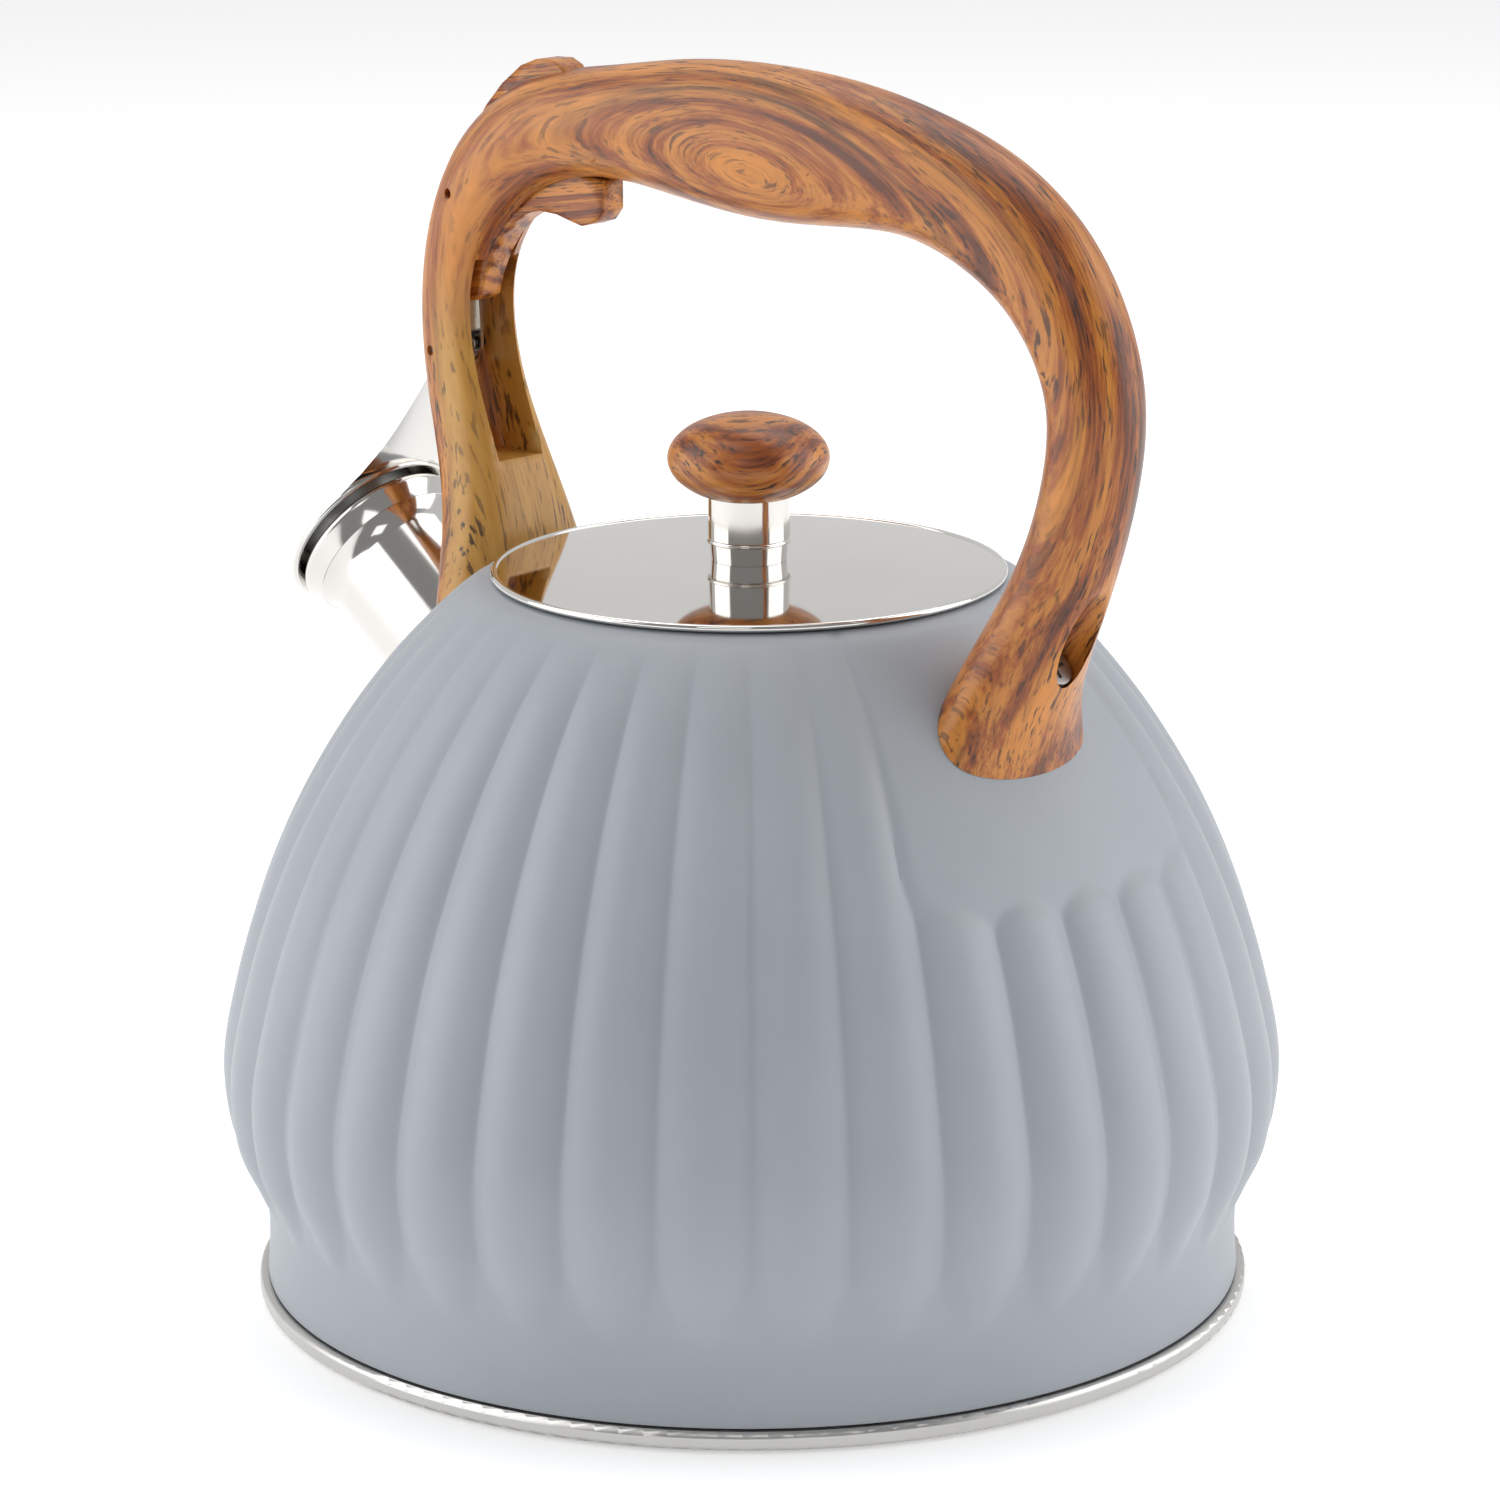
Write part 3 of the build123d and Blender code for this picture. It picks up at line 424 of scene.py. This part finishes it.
def build_body():
    """The painted surface from foot to rim, the rim's turned-in hem, and back down one sheet further in."""
    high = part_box("body_shell")[1]
    crest = curve_through(CREST, CREST_ROWS)
    along = np.concatenate([[0], np.cumsum(np.hypot(np.diff(crest[:, 0]), np.diff(crest[:, 1])))])
    crest = np.column_stack([crest, along])
    steps = np.linspace(-1, 1, RIB_STEPS)[:-1]
    steps = np.sign(steps) * (1 - (1 - np.abs(steps)) ** RIB_CROWDING)
    angle = (np.arange(LOBES)[:, None] * 360 / LOBES + steps * 180 / LOBES).ravel()[None, :]
    depth = body_offsets(crest, angle)
    slope = np.gradient(crest[:, :2], axis=0)
    slope /= np.linalg.norm(slope, axis=1)[:, None]
    inward = np.column_stack([slope[:, 1], -slope[:, 0]])       # height, radius
    rings = []
    for i in range(len(crest)):
        rings.append((crest[i, 0] + inward[i, 0] * depth[i], crest[i, 1] + inward[i, 1] * depth[i]))
    for height, radius in RIM_RUNS:
        rings.append((np.full(angle.shape[1], height), np.full(angle.shape[1], radius)))
    for i in range(len(crest) - 6, -1, -2):
        inner = depth[i] + SHEET
        rings.append((crest[i, 0] + inward[i, 0] * inner, crest[i, 1] + inward[i, 1] * inner))
    rings.append((np.full(angle.shape[1], crest[0, 0]), crest[0, 1] - SHEET + 0 * angle[0]))
    turn = np.radians(angle[0])
    vertices = np.vstack([np.column_stack([radius * np.cos(turn), radius * np.sin(turn), height + 0 * turn])
                          for height, radius in rings])
    fit = high.y / (np.abs(vertices[:, 1]).max() * MM)
    vertices = vertices * MM * np.array([fit, fit, 1.0])
    piece = new_piece("ribbed_body", vertices, grid_faces(len(rings), angle.shape[1], True))
    fix_normals(piece)
    return piece


SPOUT_TILT = math.radians(36)
BORE_RADIUS, BORE_SIDES = 15.9, 96
BORE_NEAR, BORE_FAR = -22, -75             # measured from the lip

body = build_body()
lip_low, lip_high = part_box("spout_lip")
spout_axis = Vector((-math.cos(SPOUT_TILT), 0, math.sin(SPOUT_TILT)))
spout_mouth = Vector(((lip_low.x + lip_high.x) / 2, 0, (lip_low.z + lip_high.z) / 2))
bore_profile = [(0, BORE_FAR), (BORE_RADIUS, BORE_FAR), (BORE_RADIUS, BORE_NEAR), (0, BORE_NEAR)]
cut_away(body, turned("bore", bore_profile, BORE_SIDES, spout_mouth, spout_axis))
place(body, "kettle", "body_paint", "body_shell")


# ---- grain of the wood-printed pieces ----
def store(piece, **columns):
    for name, values in columns.items():
        kind = "FLOAT_VECTOR" if values.ndim == 2 else "FLOAT"
        made = piece.data.attributes.new(name, kind, "POINT")
        made.data.foreach_set("vector" if values.ndim == 2 else "value", values.astype(np.float32).ravel())


def positions(piece):
    flat = np.zeros(len(piece.data.vertices) * 3)
    piece.data.vertices.foreach_get("co", flat)
    return flat.reshape(-1, 3)


def along_line(points, line):
    """Distance along a line in the XZ plane and depth to its left, for each point."""
    best = np.full(len(points), 1e9)
    along, depth = np.zeros(len(points)), np.zeros(len(points))
    start = 0.0
    for a, b in zip(line, line[1:]):
        run = b - a
        length = np.linalg.norm(run)
        unit = run / length
        offset = points[:, [0, 2]] - a
        t = np.clip(offset @ unit, 0, length)
        nearest = offset - t[:, None] * unit
        distance = np.linalg.norm(nearest, axis=1)
        closer = distance < best
        best[closer] = distance[closer]
        along[closer] = start + t[closer]
        depth[closer] = (offset[:, 0] * -unit[1] + offset[:, 1] * unit[0])[closer]
        start += length
    return along, depth


# middle line of the handle from the front foot to the rear one: x, height
HANDLE_LINE = [
    (-71, 118), (-73.4, 152), (-81.5, 178), (-84.1, 192), (-83.5, 205), (-79.3, 217), (-70.3, 228.5),
    (-57, 236.6), (-39, 240.2), (-16, 241), (8, 240.6), (30, 240.4), (50, 238.2), (67, 232.6),
    (80.2, 224), (89.2, 212.6), (93.8, 199), (92.8, 184), (88.2, 168.5), (81.6, 154), (69.5, 116),
]
HANDLE_ROWS = 240
SWIRL_ALONG, SWIRL_REACH, SWIRL_SIZE = 0.200, 0.042, 0.017      # metres along the middle line
REAR_GRAIN_START, REAR_GRAIN_RUN, REAR_GRAIN_SLANT = 0.25, 0.05, 0.10
PALE_END, PALE_FADE = 0.092, 0.022         # the front leg is paler up to here
HANDLE_EDGE, LEVER_EDGE, KNOB_EDGE = 3 * MM, 2 * MM, 3 * MM
LEVER_GRAIN_ANGLE = 12


def grain_handle(piece):
    points = positions(piece)
    line = curve_through(HANDLE_LINE, HANDLE_ROWS) * MM
    along, depth = along_line(points, line)
    breadth = points[:, 1]
    sweep = SWIRL_SIZE * np.tanh((along - SWIRL_ALONG) / SWIRL_REACH)
    tilt = 0.003 * np.sin(along * 31)
    ring = np.sqrt(sweep**2 + (depth + 0.005 + tilt) ** 2 + 0.05 * breadth**2)
    ring = ring + 0.2 * breadth
    past = along - REAR_GRAIN_START
    ring = ring + np.clip(past / REAR_GRAIN_RUN, 0, 1) * REAR_GRAIN_SLANT * past
    pale = np.clip((PALE_END - along) / PALE_FADE, 0, 1) * np.clip(-depth / 0.004 + 0.9, 0, 1)
    store(piece, grain=np.column_stack([along, ring, breadth]), ring=ring, pale=pale)


def grain_straight(piece, direction, centre):
    """Grain along one direction in the XZ plane, given in degrees from +X."""
    points = positions(piece) - np.array(centre)
    way = np.array([math.cos(math.radians(direction)), 0, math.sin(math.radians(direction))])
    side = np.array([-way[2], 0, way[0]])
    along, depth, breadth = points @ way, points @ side, points[:, 1]
    ring = depth + 0.3 * breadth + 0.05 * along
    store(piece, grain=np.column_stack([along, ring, breadth]), ring=ring, pale=0 * along)


def grain_knob(piece):
    """Oval rings drawn out across the knob, about a point a little off its middle."""
    low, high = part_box("knob")
    points = positions(piece) - np.array((low + high) / 2)
    across = (points[:, 0] - points[:, 1]) * math.sqrt(0.5)
    along = (points[:, 0] + points[:, 1]) * math.sqrt(0.5)
    ring = np.sqrt((0.5 * along) ** 2 + (across - 0.004) ** 2 + (1.4 * points[:, 2] + 0.005) ** 2)
    store(piece, grain=np.column_stack([along, ring, 0.3 * across]), ring=ring, pale=0 * along)


handle = cad_copy("handle", "handle_grained", HANDLE_EDGE)
grain_handle(handle)
place(handle, "kettle", "wood_handle", "handle")

trigger = cad_copy("trigger_lever", "trigger_grained", LEVER_EDGE)
lever_low, lever_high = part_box("trigger_lever")
grain_straight(trigger, LEVER_GRAIN_ANGLE, (lever_low + lever_high) / 2)
place(trigger, "trigger", "wood_trigger", "trigger_lever", angle=LEVER_SMOOTH_ANGLE)

knob = cad_copy("knob", "knob_grained", KNOB_EDGE)
grain_knob(knob)
place(knob, "lid", "wood_knob", "knob")

# ---- the CAD nodes that stay ----
for name, piece in frame["nodes"].items():
    if not piece.hide_render:
        piece.data.materials.clear()
        piece.data.materials.append(materials[slot_of[name]])

# ---- floor, light, camera ----
FLOOR_HALF = 6.0
BRIGHT_SIDE = (-0.35, 0.35, 0.10)
SKY_STRENGTH = 0.66
floor = new_piece("floor", [(-FLOOR_HALF, -FLOOR_HALF, 0), (FLOOR_HALF, -FLOOR_HALF, 0),
                            (FLOOR_HALF, FLOOR_HALF, 0), (-FLOOR_HALF, FLOOR_HALF, 0)], [(0, 1, 2, 3)])
white = Shader("studio_floor")
white.set(Base_Color=(0.90, 0.90, 0.90, 1), Roughness=0.8, Specular_IOR_Level=0.1, Emission_Strength=0.32)
white.set(Emission_Color=(1, 1, 1, 1))
floor.data.materials.append(white.material)
floor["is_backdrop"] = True

scene = bpy.context.scene
scene.view_settings.view_transform = "Standard"
world = bpy.data.worlds.new("studio")
scene.world = world
world.use_nodes = True
sky = world.node_tree.nodes["Background"]
sky_parts = {kind: world.node_tree.nodes.new("ShaderNode" + kind)
             for kind in ("TexCoord", "VectorMath", "ValToRGB")}
sky_link = world.node_tree.links.new
sky_parts["VectorMath"].operation = "DOT_PRODUCT"
sky_parts["VectorMath"].inputs[1].default_value = BRIGHT_SIDE
sky_link(sky_parts["TexCoord"].outputs["Generated"], sky_parts["VectorMath"].inputs[0])
sky_link(sky_parts["VectorMath"].outputs["Value"], sky_parts["ValToRGB"].inputs["Fac"])
sky_link(sky_parts["ValToRGB"].outputs["Color"], sky.inputs["Color"])
bands = sky_parts["ValToRGB"].color_ramp.elements
for position, grey in ((0.10, 0.55), (0.22, 1.0)):
    bands.new(position).color = (grey, grey, grey, 1)
bands[0].color, bands[-1].color = (0.42, 0.42, 0.42, 1), (1.15, 1.15, 1.15, 1)
sky.inputs["Strength"].default_value = SKY_STRENGTH

object_low, object_high = (Vector(corner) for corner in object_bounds())
middle = (object_low + object_high) / 2


def softbox(name, azimuth, elevation, distance, size, power):
    light = bpy.data.lights.new(name, "AREA")
    light.shape = "RECTANGLE"
    light.size, light.size_y = size
    light.energy = power
    lamp = bpy.data.objects.new(name, light)
    scene.collection.objects.link(lamp)
    a, e = math.radians(azimuth), math.radians(elevation)
    offset = Vector((math.sin(a) * math.cos(e), -math.cos(a) * math.cos(e), math.sin(e))) * distance
    lamp.location = middle + offset
    lamp.rotation_euler = (-offset).to_track_quat("-Z", "Y").to_euler()


VIEW = 45
softbox("left_box", VIEW - 86, 20, 1.8, (1.8, 2.0), 19)
softbox("right_box", VIEW + 86, 20, 1.8, (1.8, 2.0), 19)
softbox("top_box", VIEW + 180, 75, 1.9, (2.0, 1.8), 16)
softbox("front_box", VIEW - 12, 38, 2.2, (0.8, 0.8), 2.5)

CAMERA_REACH, CAMERA_HEIGHT, CAMERA_PITCH, CAMERA_ROLL = 1.1, 0.404, 14.78, -0.28
CAMERA_LENS, CAMERA_SENSOR = 132.2, 36
heading = Vector((-math.sin(math.radians(VIEW)), math.cos(math.radians(VIEW)), 0))
pitch, roll = math.radians(CAMERA_PITCH), math.radians(CAMERA_ROLL)
forward = heading * math.cos(pitch) + Vector((0, 0, -math.sin(pitch)))
level = forward.cross(Vector((0, 0, 1))).normalized()
upright = level.cross(forward)
right = level * math.cos(roll) + upright * math.sin(roll)
up = right.cross(forward)
lens = bpy.data.cameras.new("camera")
lens.lens, lens.sensor_width = CAMERA_LENS, CAMERA_SENSOR
camera = bpy.data.objects.new("camera", lens)
scene.collection.objects.link(camera)
camera.matrix_world = Matrix.Translation(-CAMERA_REACH * heading + Vector((0, 0, CAMERA_HEIGHT))) @ Matrix(
    (right, up, -forward)).transposed().to_4x4()
scene.camera = camera
